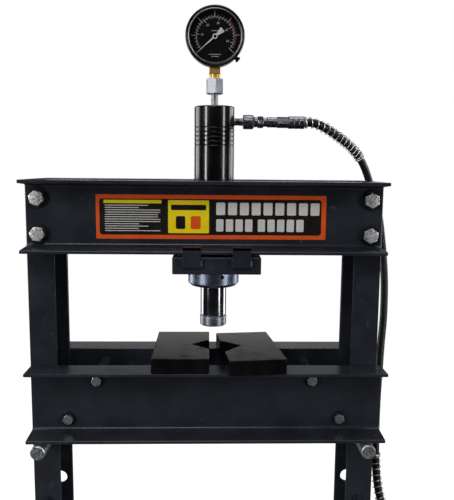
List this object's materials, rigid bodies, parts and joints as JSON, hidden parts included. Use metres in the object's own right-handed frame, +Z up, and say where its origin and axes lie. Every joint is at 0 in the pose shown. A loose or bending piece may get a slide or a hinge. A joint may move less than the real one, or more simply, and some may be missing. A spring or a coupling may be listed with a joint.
{
  "type": "hydraulic shop press",
  "caption": "Free-standing H-frame shop press with a sliding hydraulic ram head, pressure gauge, pin-set bed with notched arbor plates and a side-mounted hand pump.",
  "frame": {"origin": "on the floor, under the middle of the base crossbar, halfway between the uprights", "axes": "+X to the operator's right along the beams, +Y from the operator to the back, +Z up"},
  "size_m": [0.7146, 0.7543, 1.759],
  "materials": {
    "frame_paint": "satin",
    "zinc_plate": "satin",
    "pin_steel": "satin",
    "arbor_plate": "matte",
    "blued_steel": "gloss",
    "black_enamel": "gloss",
    "bronze": "satin",
    "chrome_rod": "gloss",
    "spring_steel": "satin",
    "brass": "satin",
    "gauge_black": "gloss",
    "dial_black": "matte",
    "needle_silver": "satin",
    "gauge_glass": "gloss",
    "hose_rubber": "matte",
    "knob_plastic": "satin"
  },
  "bodies": {
    "frame": {"left_post": "frame_paint", "right_post": "frame_paint", "top_beam_front": "frame_paint", "top_beam_rear": "frame_paint", "left_foot": "frame_paint", "right_foot": "frame_paint", "base_crossbar": "frame_paint", "top_bolt_1": "zinc_plate", "top_bolt_2": "zinc_plate", "top_bolt_3": "zinc_plate", "top_bolt_4": "zinc_plate", "top_nut_1": "zinc_plate", "top_nut_2": "zinc_plate", "top_nut_3": "zinc_plate", "top_nut_4": "zinc_plate", "pump_bracket": "frame_paint", "pump_body": "black_enamel", "pump_pivot_pin": "zinc_plate", "pump_reservoir": "black_enamel", "lower_ferrule": "zinc_plate", "lower_guard": "spring_steel", "hydraulic_hose": "hose_rubber"},
    "bed": {"bed_beam_front": "frame_paint", "bed_beam_rear": "frame_paint", "bed_bolt_1": "zinc_plate", "bed_bolt_2": "zinc_plate", "bed_bolt_3": "zinc_plate", "bed_bolt_4": "zinc_plate", "bed_spacer_1": "frame_paint", "bed_spacer_2": "frame_paint", "bed_spacer_3": "frame_paint", "bed_spacer_4": "frame_paint"},
    "left_pin": {"left_bed_pin": "pin_steel"},
    "right_pin": {"right_bed_pin": "pin_steel"},
    "left_plate": {"left_arbor_plate": "arbor_plate"},
    "right_plate": {"right_arbor_plate": "arbor_plate"},
    "head": {"head_carriage": "frame_paint", "ring_nut": "blued_steel", "cylinder_body": "black_enamel", "gland_bush": "bronze", "return_spring": "spring_steel", "gauge_stem": "zinc_plate", "hex_coupler": "zinc_plate", "gauge_connector": "brass", "gauge_case": "gauge_black", "gauge_dial": "dial_black", "gauge_lens": "gauge_glass", "port_nipple": "zinc_plate", "coupler_socket": "zinc_plate", "coupler_plug": "zinc_plate", "upper_ferrule": "zinc_plate", "upper_guard": "spring_steel"},
    "ram": {"ram_rod": "chrome_rod", "ram_cap": "chrome_rod", "piston": "bronze"},
    "needle": {"gauge_needle": "needle_silver"},
    "handle": {"pump_handle": "black_enamel", "handle_grip": "hose_rubber"},
    "plunger": {"pump_plunger": "chrome_rod"},
    "release_valve": {"release_knob": "knob_plastic"}
  },
  "joints": [
    {"name": "ram_stroke", "type": "slide", "parent": "head", "child": "ram", "axis": [0, 0, -1], "range_m": [-0.05, 0.02], "deforming": ["return_spring"]},
    {"name": "head_slide", "type": "slide", "parent": "frame", "child": "head", "axis": [1, 0, 0], "range_m": [-0.06, 0.06], "deforming": ["hydraulic_hose"]},
    {"name": "gauge_needle_turn", "type": "hinge", "parent": "head", "child": "needle", "pos_m": [0.0145, -0.009, 1.7085], "axis": [0, 1, 0], "range_deg": [0, 260], "stiffness_Nm_per_rad": 0.002},
    {"name": "bed_lift", "type": "slide", "parent": "frame", "child": "bed", "axis": [0, 0, 1], "range_m": [0, 0.013]},
    {"name": "left_pin_pull", "type": "slide", "parent": "frame", "child": "left_pin", "axis": [0, -1, 0], "range_m": [0, 0.2]},
    {"name": "right_pin_pull", "type": "slide", "parent": "frame", "child": "right_pin", "axis": [0, -1, 0], "range_m": [0, 0.2]},
    {"name": "left_plate_slide", "type": "slide", "parent": "bed", "child": "left_plate", "axis": [-1, 0, 0], "range_m": [0, 0.12]},
    {"name": "right_plate_slide", "type": "slide", "parent": "bed", "child": "right_plate", "axis": [1, 0, 0], "range_m": [0, 0.08]},
    {"name": "pump_handle_swing", "type": "hinge", "parent": "frame", "child": "handle", "pos_m": [0.347, -0.036, 0.788], "axis": [-1, 0, 0], "range_deg": [0, 55]},
    {"name": "plunger_travel", "type": "slide", "parent": "frame", "child": "plunger", "axis": [0, 0, 1], "range_m": [0, 0.0156]},
    {"name": "release_valve_turn", "type": "hinge", "parent": "frame", "child": "release_valve", "pos_m": [0.39, -0.036, 0.692], "axis": [1, 0, 0], "range_deg": [0, 270]}
  ],
  "couplings": [
    {"joint": "plunger_travel", "follows": "pump_handle_swing", "m_per_rad": 0.016}
  ]
}
